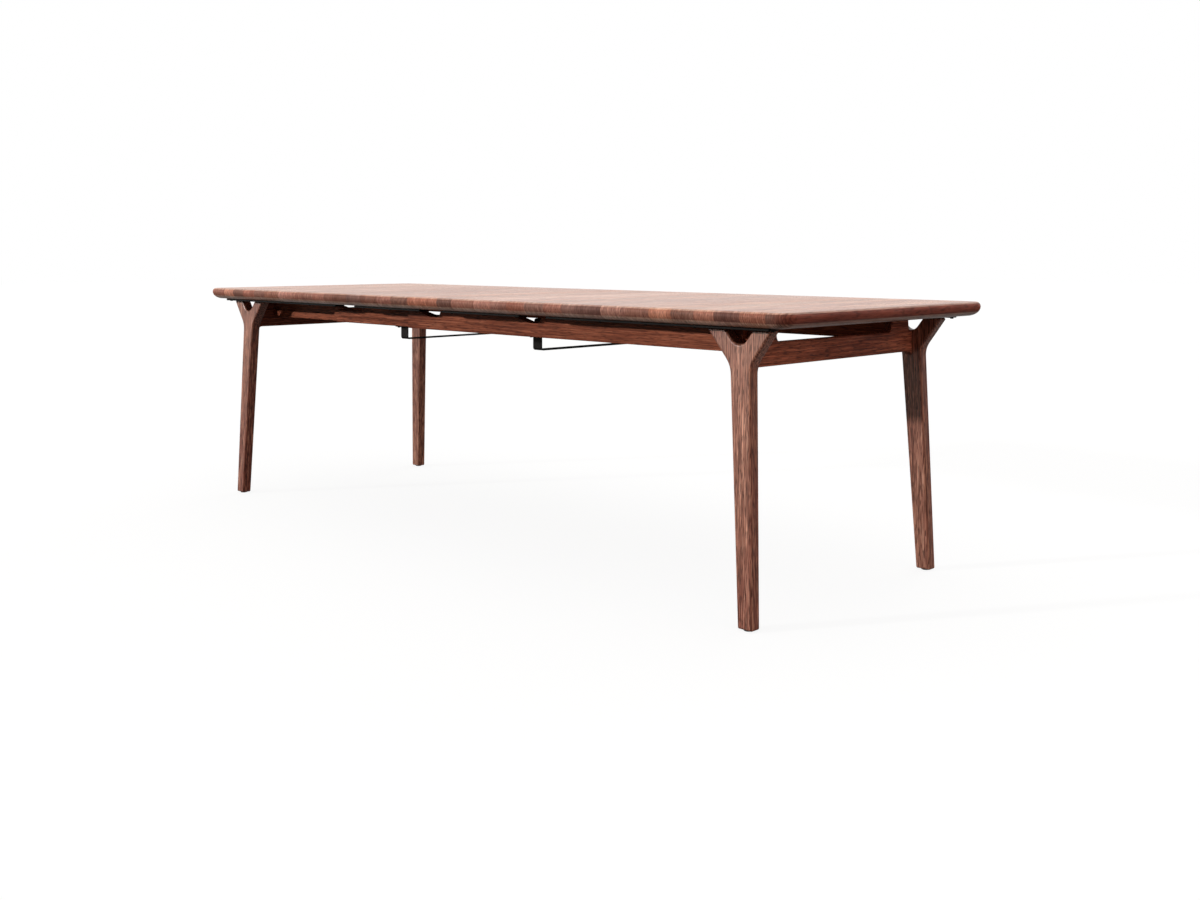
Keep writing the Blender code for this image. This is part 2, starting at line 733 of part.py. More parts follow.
def strap_corners():
    """Outline of a strap in (across, up): a hat shape of one thickness."""
    flange_end = MIDDLE_RAIL_Y - RAIL_THICKNESS / 2 + STRAP_LAP
    leg_outside = flange_end - STRAP_FLANGE
    top = RAIL_BOTTOM - FIT_GAP
    bottom = top - STRAP_DROP
    inner = STRAP_BEND_RADIUS
    outer = STRAP_BEND_RADIUS + STRAP_THICKNESS
    right = [
        (leg_outside, bottom, outer),
        (leg_outside, top - STRAP_THICKNESS, inner),
        (flange_end, top - STRAP_THICKNESS, 0),
        (flange_end, top, 0),
        (leg_outside - STRAP_THICKNESS, top, outer),
        (leg_outside - STRAP_THICKNESS, bottom + STRAP_THICKNESS, inner),
    ]
    return right + [(-u, v, radius) for u, v, radius in reversed(right)]


def strap_mesh(name):
    shape = bmesh.new()
    straight_run(
        shape, strap_corners(), -STRAP_WIDTH / 2, STRAP_WIDTH / 2, lambda u, v, w: Vector((w, u, v))
    )
    return mesh_from(shape, name)


def stop_plate_mesh():
    shape = bmesh.new()
    add_box(
        shape,
        (0.0, -STOP_WIDTH / 2, -STOP_HEIGHT / 2),
        (STOP_THICKNESS, STOP_WIDTH / 2, STOP_HEIGHT / 2),
    )
    return mesh_from(shape, "stop_plate")


def build_carriage(frame):
    """The two middle rails, which the steel straps join into one sliding frame."""
    ends = ((-1, "left"), (1, "right"))
    sides = ((-1, "front"), (1, "back"))
    rails = []
    for side, word in sides:
        name = f"middle_rail_{word}"
        mesh = rail_mesh(name, tongued_rail_corners(), -MIDDLE_RAIL_HALF, MIDDLE_RAIL_HALF)
        rail = place_piece(name, mesh, "walnut_rail", frame, (0.0, side * MIDDLE_RAIL_Y, 0.0))
        scoops = scoops_mesh(side, SCOOP_FAR_END, SCOOP_FAR_RUN)
        cut(rail, place_cutter(name + "_scoops", scoops, frame))
        rails.append(rail)
        for (low, high), half in zip(strip_spans(side), ("left", "right")):
            place = ((low + high) / 2, side * MIDDLE_RAIL_Y, 0.0)
            place_piece(f"wear_strip_{word}_{half}", strip_mesh(high - low), "wear_strip", frame, place)

    mesh = strap_mesh("leaf_strap")
    screw_y = MIDDLE_RAIL_Y - RAIL_THICKNESS / 2 + STRAP_LAP / 2
    seat_z = RAIL_BOTTOM - FIT_GAP - STRAP_THICKNESS
    for end, word in ends:
        x = end * STRAP_PLACE
        strap = place_piece(f"leaf_strap_{word}", mesh, "black_steel", frame, (x, 0.0, 0.0))
        names = []
        seats = []
        for side, side_word in sides:
            for number, along in ((1, -1), (2, 1)):
                names.append(f"strap_screw_{word}_{side_word}_{number}")
                seats.append((x + along * STRAP_WIDTH / 4, side * screw_y, seat_z))
        add_screws(names, seats, (0.0, 0.0, 1.0), frame, [strap] + rails, "black_steel")

    mesh = stop_plate_mesh()
    plate_z = FRAME_TOP - SCOOP_DEPTH - STOP_TOP_GAP - STOP_HEIGHT / 2
    for end, word in ends:
        inner_x = MIDDLE_RAIL_HALF + FIT_GAP
        low_x = inner_x if end > 0 else -inner_x - STOP_THICKNESS
        plates = []
        for side, side_word in sides:
            name = f"stop_plate_{side_word}_{word}"
            place = (low_x, side * MIDDLE_RAIL_Y, plate_z)
            plates.append(place_piece(name, mesh, "zinc_steel", frame, place))
        names = [f"stop_screw_{side_word}_{word}" for side, side_word in sides]
        seats = [(end * (inner_x + STOP_THICKNESS), side * MIDDLE_RAIL_Y, plate_z) for side, _ in sides]
        add_screws(names, seats, (-end, 0.0, 0.0), frame, plates + rails, "zinc_steel")


clear_scene()
right_half = make_empty("right_half", (0.0, 0.0, 0.0))
left_half = make_empty("left_half", (0.0, 0.0, 0.0), math.pi)
carriage = make_empty("carriage", (0.0, 0.0, 0.0))
shared = half_meshes()
build_half(shared, right_half, "right", "front", "back")
build_half(shared, left_half, "left", "back", "front")
build_carriage(carriage)
for direction, word in ((-1, "left"), (1, "right")):
    build_leaf(make_empty(f"leaf_{word}_lift", (direction * LEAF_WIDTH / 2, 0.0, 0.0)), word)
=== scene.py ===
import json
import math

import bmesh
import bpy
from mathutils import Matrix, Vector


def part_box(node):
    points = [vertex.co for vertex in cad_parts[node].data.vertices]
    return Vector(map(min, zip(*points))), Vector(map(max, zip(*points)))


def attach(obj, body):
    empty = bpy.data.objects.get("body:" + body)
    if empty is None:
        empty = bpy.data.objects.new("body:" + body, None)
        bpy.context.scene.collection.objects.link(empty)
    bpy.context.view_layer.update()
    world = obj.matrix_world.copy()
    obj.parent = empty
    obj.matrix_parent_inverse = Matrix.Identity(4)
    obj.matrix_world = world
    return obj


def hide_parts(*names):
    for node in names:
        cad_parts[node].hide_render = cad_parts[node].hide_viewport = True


# Extending dining table in walnut, pulled open with both leaves in.
# X runs along the table, Y across it, Z up. The viewer stands in front, at -Y and +X.

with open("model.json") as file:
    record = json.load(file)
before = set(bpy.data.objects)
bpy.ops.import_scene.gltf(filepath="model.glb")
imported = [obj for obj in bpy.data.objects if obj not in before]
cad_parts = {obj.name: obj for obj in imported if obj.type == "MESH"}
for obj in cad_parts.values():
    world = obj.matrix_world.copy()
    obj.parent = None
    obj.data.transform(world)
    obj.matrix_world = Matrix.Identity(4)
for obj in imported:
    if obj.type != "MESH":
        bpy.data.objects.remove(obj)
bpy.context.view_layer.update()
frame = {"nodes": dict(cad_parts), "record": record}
scene = bpy.context.scene
print("frame loaded:", len(frame["nodes"]), "solids")

halves = {"right": 1, "left": -1}
sides = {"front": -1, "back": 1}
arcStep = math.radians(6)  # how finely a rounded corner is drawn
softRows = 6  # rows of faces round a softened edge
tightestCorner = 0.0004  # what a corner's radius keeps, at least, as an outline draws in


def linearColour(text):
    values = [int(text[i:i + 2], 16) / 255 for i in (1, 3, 5)]  # sRGB hex
    linear = [v / 12.92 if v <= 0.04045 else ((v + 0.055) / 1.055) ** 2.4 for v in values]
    return (*linear, 1.0)


def addNode(tree, kind, inputs=None, **settings):
    node = tree.nodes.new(kind)
    for name, value in settings.items():
        setattr(node, name, value)
    for socket, value in (inputs or {}).items():
        if isinstance(value, bpy.types.NodeSocket):
            tree.links.new(value, node.inputs[socket])
        else:
            node.inputs[socket].default_value = value
    return node


def newMaterial(name):
    material = bpy.data.materials.new(name)
    material.use_nodes = True
    tree = material.node_tree
    tree.nodes.clear()
    shader = addNode(tree, "ShaderNodeBsdfPrincipled")
    output = addNode(tree, "ShaderNodeOutputMaterial", {"Surface": shader.outputs["BSDF"]})
    output.is_active_output = True
    return material, tree, shader


def colourMix(tree, share, first, second, way="MIX"):
    # inputs 6 and 7 are the two colours of a colour mix, and output 2 its result
    inputs = {0: share, 6: first, 7: second}
    return addNode(tree, "ShaderNodeMix", inputs, data_type="RGBA", blend_type=way).outputs[2]


def compute(tree, operation, first, second=0.0, third=0.0):
    node = addNode(tree, "ShaderNodeMath", {0: first, 1: second, 2: third}, operation=operation)
    return node.outputs[0]


def remap(tree, value, low, high, newLow=0.0, newHigh=1.0):
    inputs = {"Value": value, "From Min": low, "From Max": high, "To Min": newLow, "To Max": newHigh}
    return addNode(tree, "ShaderNodeMapRange", inputs).outputs["Result"]


# Walnut, planed, sanded and oiled. All lengths are in metres. Each finish has four colours: light early wood,
# dark late wood in thin lines, deep heartwood in broad patches, and paler stretches. A stretch says how much
# slower a pattern is along the grain, and a range from where to where in its noise it comes in
walnut = {
    "pore": "#2A120D",  # open pores, filled with oil
    "ringSpacing": 0.0058,  # growth rings, 3 to 6 mm apart in walnut
    "ringWander": 3.4,
    "ringStretch": 0.045,
    "ringSharpness": 2.2,
    "ringFadeRange": (0.35, 0.7),
    "ringStrength": (0.8, 0.3),  # in deep heartwood and in pale wood
    "streakPitch": 0.0046,
    "streakStretch": 0.035,
    "paleRange": (0.50, 0.68),
    "streakRange": (0.32, 0.62),
    "streakContrast": 1.2,  # of a finish's contrast
    "fibrePitch": 0.0024,  # real fibres are finer, and wouldn't show
    "fibreStretch": 0.03,
    "fibreRange": (0.3, 0.7),
    "porePitch": 0.0021,  # open pores too: they are 0.3 mm wide, and drawn several times that
    "poreStretch": 0.07,
    "poreRange": (0.54, 0.64),
    "poreStrength": 0.8,
    "patchPitch": 0.11,
    "patchStretch": 0.2,
    "patchRange": (0.38, 0.62),
    "endGrainRange": (0.55, 0.95),
    "roughRange": (0.25, 0.75),
    "roughSpread": (-0.06, 0.08),
    "bump": 0.25,
    "bumpDepth": 0.0006,
}


def walnutMaterial(name, grain, look, staves=None):
    # rings, fibres and pores run along one axis, so end grain shows by itself on the cut faces
    material, tree, shader = newMaterial(name)
    axis = "XYZ".index(grain)
    coords = addNode(tree, "ShaderNodeTexCoord")
    place = coords.outputs["Object"]
    if staves:
        apart = addNode(tree, "ShaderNodeSeparateXYZ", {0: place})
        along = compute(tree, "MULTIPLY_ADD", apart.outputs["X"], 1 / staves["pitch"], staves["start"])
        cells = {"W": along, "Scale": 1.0, "Randomness": staves["unevenness"]}
        cell = addNode(tree, "ShaderNodeTexVoronoi", cells, voronoi_dimensions="1D")
        joint = addNode(tree, "ShaderNodeTexVoronoi", cells, voronoi_dimensions="1D",
                        feature="DISTANCE_TO_EDGE")
        staveTone = addNode(tree, "ShaderNodeSeparateColor", {0: cell.outputs["Color"]})
        shifted = {0: cell.outputs["Color"], 1: staves["spread"], 2: place}
        place = addNode(tree, "ShaderNodeVectorMath", shifted, operation="MULTIPLY_ADD").outputs[0]

    def stretched(pitch, along):
        scale = [1 / pitch] * 3
        scale[axis] = along / pitch
        if staves:
            scale[2] = staves["upright"] / pitch
        return addNode(tree, "ShaderNodeMapping", {"Vector": place, "Scale": scale}).outputs[0]

    ringInputs = {
        "Vector": stretched(1.0, walnut["ringStretch"]),
        "Scale": math.pi / 10 / walnut["ringSpacing"],  # a wave of scale 1 repeats every pi / 10
        "Distortion": walnut["ringWander"],
        "Detail": 3.0,
        "Detail Scale": 2.2,
        "Detail Roughness": 0.55,
    }
    rings = addNode(tree, "ShaderNodeTexWave", ringInputs, wave_type="RINGS", rings_direction=grain,
                    wave_profile="SAW")

    def noise(pattern, detail, roughness):
        inputs = {"Vector": stretched(walnut[pattern + "Pitch"], walnut[pattern + "Stretch"]), "Scale": 1.0,
                  "Detail": detail, "Roughness": roughness}
        return addNode(tree, "ShaderNodeTexNoise", inputs).outputs["Fac"]

    fibre = noise("fibre", 2.0, 0.6)
    pores = noise("pore", 1.0, 0.5)
    patches = noise("patch", 3.0, 0.55)
    streaks = noise("streak", 2.0, 0.65)

    poreShare = remap(tree, pores, *walnut["poreRange"], 0.0, walnut["poreStrength"])
    ringShare = compute(tree, "POWER", rings.outputs["Fac"], walnut["ringSharpness"])
    ringFade = remap(tree, patches, *walnut["ringFadeRange"], *walnut["ringStrength"])
    ringShare = compute(tree, "MULTIPLY", ringShare, ringFade)
    lightShare = remap(tree, patches, *walnut["patchRange"])
    base = colourMix(tree, lightShare, linearColour(look["deep"]), linearColour(look["light"]))
    paleShare = remap(tree, streaks, *walnut["paleRange"], 0.0, look["paleShare"])
    base = colourMix(tree, paleShare, base, linearColour(look["pale"]))
    base = colourMix(tree, ringShare, base, linearColour(look["dark"]))
    contrast = look["contrast"]
    shade = remap(tree, fibre, *walnut["fibreRange"], 1 - contrast, 1 + contrast)
    streakShade = remap(tree, streaks, *walnut["streakRange"], 1 - walnut["streakContrast"] * contrast,
                        1 + contrast)
    shade = compute(tree, "MULTIPLY", shade, streakShade)
    facing = addNode(tree, "ShaderNodeSeparateXYZ", {0: coords.outputs["Normal"]}).outputs
    if staves:
        # painted shade: where the surface tips away from upright, the edges and ends are tinted darker and
        # redder, as sideways faces under a top light; the long edges' end grain is darker too, and the staves
        # show more there
        edge = remap(tree, compute(tree, "ABSOLUTE", facing["Z"]), *staves["edgeRange"])
        tone = compute(tree, "POWER", staveTone.outputs["Red"], staves["toneBias"])
        drift = remap(tree, apart.outputs["X"], -staves["reach"], staves["reach"], 1 + staves["drift"],
                      1 - staves["drift"])
        onEdge = remap(tree, tone, 0.0, 1.0, staves["darkest"], staves["palest"])
        onEdge = compute(tree, "MULTIPLY", onEdge, drift)
        onFace = remap(tree, tone, 0.0, 1.0, staves["darkestFace"], staves["palestFace"])
        staveShade = addNode(tree, "ShaderNodeMix", {0: edge, 2: onFace, 3: onEdge}).outputs[0]
        shade = compute(tree, "MULTIPLY", shade, staveShade)
        # painted shade: the free ends, facing along the table, take their own redder tint
        freeEnd = remap(tree, compute(tree, "ABSOLUTE", apart.outputs["X"]), *staves["freeEndRange"])
        freeEnd = compute(tree, "MULTIPLY", compute(tree, "ABSOLUTE", facing["X"]), freeEnd)
        shadeTint = colourMix(tree, freeEnd, linearColour(staves["edgeShadeTint"]), linearColour(staves["endShadeTint"]))
        shadeTinted = colourMix(tree, 1.0, base, shadeTint, "MULTIPLY")
        base = colourMix(tree, edge, base, shadeTinted)
    ends = remap(tree, compute(tree, "ABSOLUTE", facing[grain]), *walnut["endGrainRange"], 1.0,
                 1 - look["endDarkening"])
    shade = compute(tree, "MULTIPLY", shade, ends)
    base = addNode(tree, "ShaderNodeVectorMath", {0: base, 3: shade}, operation="SCALE").outputs[0]
    hue = 0.5  # leaves the colours' hue alone
    saturation = look["saturation"]
    if staves:
        hue = compute(tree, "MULTIPLY_ADD", staveTone.outputs["Green"], staves["hueSpread"],
                      0.5 - staves["hueSpread"] / 2)
        dullest, liveliest = staves["saturationSpread"]
        saturation = remap(tree, staveTone.outputs["Blue"], 0.0, 1.0, dullest * look["saturation"],
                           liveliest * look["saturation"])
    tinted = {"Color": base, "Hue": hue, "Saturation": saturation}
    base = addNode(tree, "ShaderNodeHueSaturation", tinted).outputs[0]
    if staves:
        glueLine = staves["glueLine"] / staves["pitch"]
        dark = remap(tree, joint.outputs["Distance"], 0.0, glueLine, staves["glueDarkness"], 0.0)
        base = colourMix(tree, dark, base, linearColour(walnut["pore"]))
    filled = compute(tree, "MULTIPLY", poreShare, look["pores"])
    base = colourMix(tree, filled, base, linearColour(walnut["pore"]))

    height = compute(tree, "MULTIPLY_ADD", poreShare, -1.0, fibre)
    bump = addNode(tree, "ShaderNodeBump", {
        "Height": height, "Strength": walnut["bump"], "Distance": walnut["bumpDepth"]})
    smoothest, roughest = (look["roughness"] + spread for spread in walnut["roughSpread"])
    rough = remap(tree, fibre, *walnut["roughRange"], smoothest, roughest)
    if staves:
        rough = compute(tree, "MULTIPLY_ADD", edge, staves["edgeRoughness"], rough)
    tree.links.new(base, shader.inputs["Base Color"])
    tree.links.new(rough, shader.inputs["Roughness"])
    tree.links.new(bump.outputs[0], shader.inputs["Normal"])
    shader.inputs["Specular IOR Level"].default_value = look["specular"]
    return material


# The top's staves lie across the table, so its long edges show end grain in blocks
topStaves = {
    "pitch": 0.074,
    "start": 3.0,  # picks which staves of the pile were used
    "unevenness": 0.8,
    "spread": (0.31, 0.83, 0.27),  # how far apart in the tree the staves were cut
    "upright": 0.22,  # the rings stand upright in a stave, so its end shows upright lines
    "toneBias": 1.5,  # more dark staves than pale ones
    "darkest": 0.55,
    "palest": 1.60,
    "darkestFace": 0.88,
    "palestFace": 1.16,
    "drift": 0.16,  # the staves were laid from pale on the left to dark on the right
    "reach": 1.3,
    "edgeRange": (0.68, 0.60),  # how far a surface tips before it counts as edge
    "freeEndRange": (1.0, 1.2),  # the seams between the leaves lie nearer the middle, and don't take the free ends' tint
    # painted shade: the darker, redder tint of the long edges, partly their real end grain, and the redder
    # tint of the free ends
    "edgeShadeTint": "#D2B4AC",
    "endShadeTint": "#FCAE98",
    "edgeRoughness": 0.30,  # end grain takes less of a polish than the face
    "hueSpread": 0.008,
    "saturationSpread": (0.88, 1.04),
    "glueLine": 0.0008,
    "glueDarkness": 0.4,
}

topFinish = {"light": "#CF9E84", "dark": "#874D3D", "deep": "#B47D63", "pale": "#E2B59B",
             "contrast": 0.16, "paleShare": 0.5, "pores": 0.5, "saturation": 0.96,
             "roughness": 0.28, "specular": 0.14, "endDarkening": 0.0}
legFinish = {"light": "#B2765E", "dark": "#5B2C23", "deep": "#935543", "pale": "#CA9980",
             "contrast": 0.38, "paleShare": 0.60, "pores": 0.9, "saturation": 0.97,
             "roughness": 0.31, "specular": 0.24, "endDarkening": 0.3}
crossbarFinish = {"light": "#BC7258", "dark": "#66332A", "deep": "#92513E", "pale": "#C8927A",
                  "contrast": 0.34, "paleShare": 0.3, "pores": 0.8, "saturation": 1.0,
                  "roughness": 0.52, "specular": 0.12, "endDarkening": 0.3}
railFinish = {"light": "#AC6144", "dark": "#622E20", "deep": "#8A4730", "pale": "#BC7E60",
              "contrast": 0.26, "paleShare": 0.3, "pores": 0.7, "saturation": 1.0,
              "roughness": 0.56, "specular": 0.05, "endDarkening": 0.3}

# The top shows varied blocks, the legs straight upright grain with a low sheen, the crossbars duller grain
# across the table, and the slides redder, nearly matt grain along it
walnutTop = walnutMaterial("oiled_walnut_staves", "Y", topFinish, topStaves)
walnutLegs = walnutMaterial("oiled_walnut_upright", "Z", legFinish)
walnutCrossbars = walnutMaterial("oiled_walnut_crosswise", "Y", crossbarFinish)
walnutRails = walnutMaterial("waxed_walnut_lengthwise", "X", railFinish)


# Fine grain of a coat, plating or moulded face, with a little unevenness in its sheen
grainedFace = {
    "cloudRange": (0.3, 0.7),
    "roughSpread": (-0.05, 0.07),
    "peelDepth": 0.0004,
}


def grainedMaterial(name, look):
    material, tree, shader = newMaterial(name)
    place = addNode(tree, "ShaderNodeTexCoord").outputs["Object"]
    peelInputs = {"Vector": place, "Scale": 1 / look["peelPitch"], "Detail": 2.0}
    peel = addNode(tree, "ShaderNodeTexNoise", peelInputs).outputs["Fac"]
    cloudInputs = {"Vector": place, "Scale": 1 / look["cloudPitch"], "Detail": 3.0}
    cloud = addNode(tree, "ShaderNodeTexNoise", cloudInputs).outputs["Fac"]
    base = colourMix(tree, cloud, linearColour(look["dark"]), linearColour(look["light"]))
    smoothest, roughest = (look["roughness"] + spread for spread in grainedFace["roughSpread"])
    rough = remap(tree, cloud, *grainedFace["cloudRange"], smoothest, roughest)
    bump = addNode(tree, "ShaderNodeBump", {
        "Height": peel, "Strength": look["peelStrength"], "Distance": grainedFace["peelDepth"]})
    tree.links.new(base, shader.inputs["Base Color"])
    tree.links.new(rough, shader.inputs["Roughness"])
    tree.links.new(bump.outputs[0], shader.inputs["Normal"])
    shader.inputs["Metallic"].default_value = look["metallic"]
    shader.inputs["Specular IOR Level"].default_value = look["specular"]
    return material


blackCoat = grainedMaterial("black_powder_coat", {  # matt black with a fine leathery grain
    "dark": "#0D0B0A", "light": "#151210", "roughness": 0.55, "metallic": 0.0, "specular": 0.06,
    "peelPitch": 0.0012, "cloudPitch": 0.05, "peelStrength": 0.35})
zincPlate = grainedMaterial("zinc_plated_steel", {  # dull silvery grey, slightly cloudy
    "dark": "#6F7072", "light": "#94959A", "roughness": 0.38, "metallic": 1.0, "specular": 0.5,
    "peelPitch": 0.0018, "cloudPitch": 0.008, "peelStrength": 0.12})
slickStrip = grainedMaterial("slick_nylon_strip", {  # sawn nylon, dark and waxy
    "dark": "#1E1B19", "light": "#2D2926", "roughness": 0.42, "metallic": 0.0, "specular": 0.3,
    "peelPitch": 0.0025, "cloudPitch": 0.03, "peelStrength": 0.25})
blackPlastic = grainedMaterial("moulded_black_plastic", {  # moulded polypropylene, softly matt
    "dark": "#151515", "light": "#1D1D1D", "roughness": 0.55, "metallic": 0.0, "specular": 0.3,
    "peelPitch": 0.0010, "cloudPitch": 0.02, "peelStrength": 0.2})
print("materials made:", len(bpy.data.materials))


def insetCorners(corners, inset):
    moved = []
    for index, (u, v, radius) in enumerate(corners):
        here = Vector((u, v))
        into = (here - Vector(corners[index - 1][:2])).normalized()
        out = (Vector(corners[(index + 1) % len(corners)][:2]) - here).normalized()
        normalIn = Vector((-into.y, into.x))
        normalOut = Vector((-out.y, out.x))
        shift = (normalIn + normalOut) * (inset / (1 + normalIn.dot(normalOut)))
        if radius > 0:
            radius = max(radius - inset, tightestCorner) if into.cross(out) > 0 else radius + inset
        moved.append((u + shift.x, v + shift.y, radius))
    return moved


def outlinePoints(corners, counts):
    # a corner keeps its own count of points, so that the rings of one piece match
    points = []
    for index, (u, v, radius) in enumerate(corners):
        here = Vector((u, v))
        into = (here - Vector(corners[index - 1][:2])).normalized()
        out = (Vector(corners[(index + 1) % len(corners)][:2]) - here).normalized()
        turn = math.atan2(into.cross(out), into.dot(out))
        if radius == 0:
            points.append(here)
            continue
        start = here - into * radius * math.tan(abs(turn) / 2)
        centre = start + Vector((-into.y, into.x)) * math.copysign(radius, turn)
        steps = counts[index]
        for step in range(steps + 1):
            points.append(centre + Matrix.Rotation(turn * step / steps, 2) @ (start - centre))
    return points


def cornerCounts(corners):
    counts = []
    for index, (u, v, radius) in enumerate(corners):
        into = Vector((u, v)) - Vector(corners[index - 1][:2])
        out = Vector(corners[(index + 1) % len(corners)][:2]) - Vector((u, v))
        counts.append(max(2, math.ceil(into.angle(out) / arcStep)))
    return counts


def softLayers(depth, soft, rows):
    # (inset, level) of each ring, from the back face to the front one
    turns = [math.pi / 2 * row / rows for row in range(rows + 1)]
    half = [(soft * (1 - math.sin(turn)), -depth / 2 + soft * (1 - math.cos(turn))) for turn in turns]
    return half + [(inset, -level) for inset, level in reversed(half)]


def skinMesh(name, rings):
    # a closed skin over rings of as many points each
    shape = bmesh.new()
    rows = [[shape.verts.new(point) for point in ring] for ring in rings]
    for low, high in zip(rows, rows[1:]):
        for index in range(len(low)):
            after = (index + 1) % len(low)
            shape.faces.new((low[index], low[after], high[after], high[index]))
    shape.faces.new(list(reversed(rows[0])))
    shape.faces.new(rows[-1])
    bmesh.ops.recalc_face_normals(shape, faces=shape.faces)
    mesh = bpy.data.meshes.new(name)
    shape.to_mesh(mesh)
    shape.free()
    return mesh


def loftMesh(name, corners, layers, toPlace):
    counts = cornerCounts(corners)
    rings = []
    for inset, level in layers:
        points = outlinePoints(insetCorners(corners, inset), counts)
        rings.append([toPlace(point.x, point.y, level) for point in points])
    return skinMesh(name, rings)


def addPiece(name, mesh, material):
    piece = bpy.data.objects.new(name, mesh)
    scene.collection.objects.link(piece)
    mesh.materials.append(material)
    return piece


def smooth(piece, sharpAngle):
    # flat faces keep their own direction, and the round stretches between them shade softly
    piece.data.shade_smooth()
    piece.data.set_sharp_from_angle(angle=math.radians(sharpAngle))
    weighted = piece.modifiers.new("weighted", "WEIGHTED_NORMAL")
    weighted.keep_sharp = True
    weighted.weight = 100


def applyModifiers(piece):
    graph = bpy.context.evaluated_depsgraph_get()
    mesh = bpy.data.meshes.new_from_object(piece.evaluated_get(graph))
    piece.modifiers.clear()
    piece.data = mesh


def bodyOf(node):
    return next(body for body, nodes in frame["record"]["behaviour"]["bodies"].items() if node in nodes)


def finish(piece, body, slot, *nodes, sharpAngle=40):
    smooth(piece, sharpAngle)
    applyModifiers(piece)
    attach(piece, body)
    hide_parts(*nodes)


def turnedRound(toPlace, half):
    # the left half is the right one turned by half a turn
    return lambda u, v, w: Matrix.Diagonal((half, half, 1)) @ toPlace(u, v, w)


# Legs: forked heads, tapering to the foot, splayed both ways
legLook = {
    "x": 1.1236,
    "y": 0.372,
    "depth": 0.033,
    "softEdge": 0.006,
    "footWidth": 0.0415,
    "footBottom": 0.0028,
    "neckWidth": 0.060,
    "headWidth": 0.194,
    "headHeight": 0.0857,
    "headTop": 0.6904,
    "flankRadius": 0.060,
    "forkWidth": 0.084,
    "forkDepth": 0.0510,
    "forkRadius": 0.028,
    "tipRadius": 0.004,
    "splayAlong": 0.0274,
    "splayAcross": 0.0167,
    "splayLevel": 0.6256,
}


def makeLegs(look):
    top = look["headTop"]
    neckHeight = top - look["headHeight"]
    outline = [
        (look["footWidth"] / 2, look["footBottom"], look["tipRadius"]),
        (look["neckWidth"] / 2, neckHeight, look["flankRadius"]),
        (look["headWidth"] / 2, top, look["tipRadius"]),
        (look["forkWidth"] / 2, top, look["tipRadius"]),
        (0.0, top - look["forkDepth"], look["forkRadius"]),
    ]
    outline += [(-u, v, radius) for u, v, radius in reversed(outline[:4])]
    layers = softLayers(look["depth"], look["softEdge"], softRows)
    for half, along in halves.items():
        for side, across in sides.items():
            def toPlace(u, v, w):
                # along is in the sign across too, because the left half is turned round afterwards
                lean = look["splayAlong"] * (look["splayLevel"] - v) / look["splayLevel"]
                out = look["splayAcross"] * max(0.0, 1 - v / neckHeight)
                return Vector((look["x"] + u + lean, across * along * (look["y"] + out) + w, v))
            name = f"leg_{side}_{half}_wood"
            leg = addPiece(name, loftMesh(name, outline, layers, turnedRound(toPlace, along)), walnutLegs)
            finish(leg, f"{half}_half", "walnut_frame", f"leg_{side}_{half}")


makeLegs(legLook)
print("legs made")


# Top: two halves with rounded outer ends, and two leaves between them
topLook = {
    "length": 2.60,
    "width": 0.90,
    "underside": 0.697,
    "thickness": 0.038,
    "upperRound": 0.011,
    "upperHeight": 0.013,
    "underRound": 0.036,
    "cornerRadius": 0.045,
    "leafWidth": 0.45,
    "seamGap": 0.0004,
    "edgeRows": 8,
    "cornerSteps": 12,
}


def panelMesh(name, look, start, end, half):
    # half is 1 or -1 for a half of the top, which has one rounded free end, and 0 for a leaf, which has none.
    # Only free end and long edges draw in towards the faces
    lower = look["thickness"] - look["upperHeight"]
    middle = look["underside"] + lower
    steps = look["cornerSteps"]
    facing = half or 1
    rings = []
    for row in range(-look["edgeRows"], look["edgeRows"] + 1):
        turn = math.pi / 2 * row / look["edgeRows"]
        depth, height = (look["underRound"], lower) if row < 0 else (look["upperRound"], look["upperHeight"])
        inset = depth * (1 - math.cos(turn))
        level = middle + height * math.sin(turn)
        side = look["width"] / 2 - inset
        reach = end - inset if half else end
        radius = look["cornerRadius"] - inset if half else 0
        corners = [(start, -side, 0), (reach, -side, radius), (reach, side, radius), (start, side, 0)]
        points = outlinePoints(corners, [0, steps, steps, 0])
        rings.append([(facing * point.x, facing * point.y, level) for point in points])
    return skinMesh(name, rings)


def makeTop(look):
    seam = look["leafWidth"]
    gap = look["seamGap"] / 2
    for half, along in halves.items():
        name = f"top_{half}_wood"
        panel = addPiece(name, panelMesh(name, look, seam + gap, look["length"] / 2, along), walnutTop)
        finish(panel, f"{half}_half", "walnut_top", f"top_half_{half}")
        name = f"leaf_{half}_wood"
        start, end = sorted((along * gap, along * (seam - gap)))
        leaf = addPiece(name, panelMesh(name, look, start, end, 0), walnutTop)
        finish(leaf, f"leaf_{half}", "walnut_top", f"leaf_{half}")


makeTop(topLook)
print("top and leaves made")


# Crossbars: a stub under the top at each leg, cut back beside the fork, and a dip between the stubs
crossbarLook = {
    "x": 1.119,
    "end": 0.3552,
    "thickness": 0.022,
    "softEdge": 0.004,
    "top": 0.6904,
    "bottom": 0.5973,
    "lowTop": 0.6539,
    "stubLength": 0.099,
    "stubRadius": 0.020,
    "dipRun": 0.008,
    "dipRadius": 0.013,
    "notchLength": 0.015,  # the stub's top stops short of the leg, and the fork stays open
    "notchRun": 0.003,
    "notchBottom": 0.656,
    "notchRadius": 0.011,
    "notchCorner": 0.002,
    "flareDrop": 0.010,
    "flareRun": 0.011,
    "flareRadius": 0.011,
}


